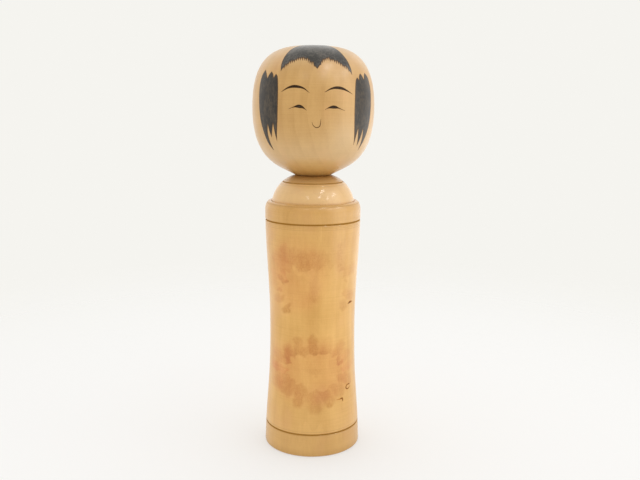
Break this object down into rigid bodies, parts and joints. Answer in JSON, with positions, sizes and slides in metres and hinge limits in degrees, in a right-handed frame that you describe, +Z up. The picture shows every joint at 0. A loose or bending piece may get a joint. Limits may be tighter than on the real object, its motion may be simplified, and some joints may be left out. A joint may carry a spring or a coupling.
{
  "type": "kokeshi doll",
  "caption": "Turned wooden doll with a rounded-square painted head that turns on a captive tenon, on a waisted body with a stepped, domed shoulder and a flat base.",
  "frame": {"origin": "centre of the underside, on the plane that the doll stands on", "axes": "+Z up along the turning axis that head and body share; the face looks towards -Y"},
  "size_m": [0.0896, 0.0896, 0.302],
  "materials": {
    "body_wood": "waxed satin",
    "head_wood": "waxed satin",
    "ink": "brushed charcoal ink, matt"
  },
  "bodies": {
    "body": {"body": "body_wood"},
    "head": {"head": "head_wood"}
  },
  "joints": [
    {"name": "head_turn", "type": "hinge", "parent": "body", "child": "head", "pos_m": [0, 0, 0.2082], "axis": [0, 0, 1], "continuous": true}
  ]
}
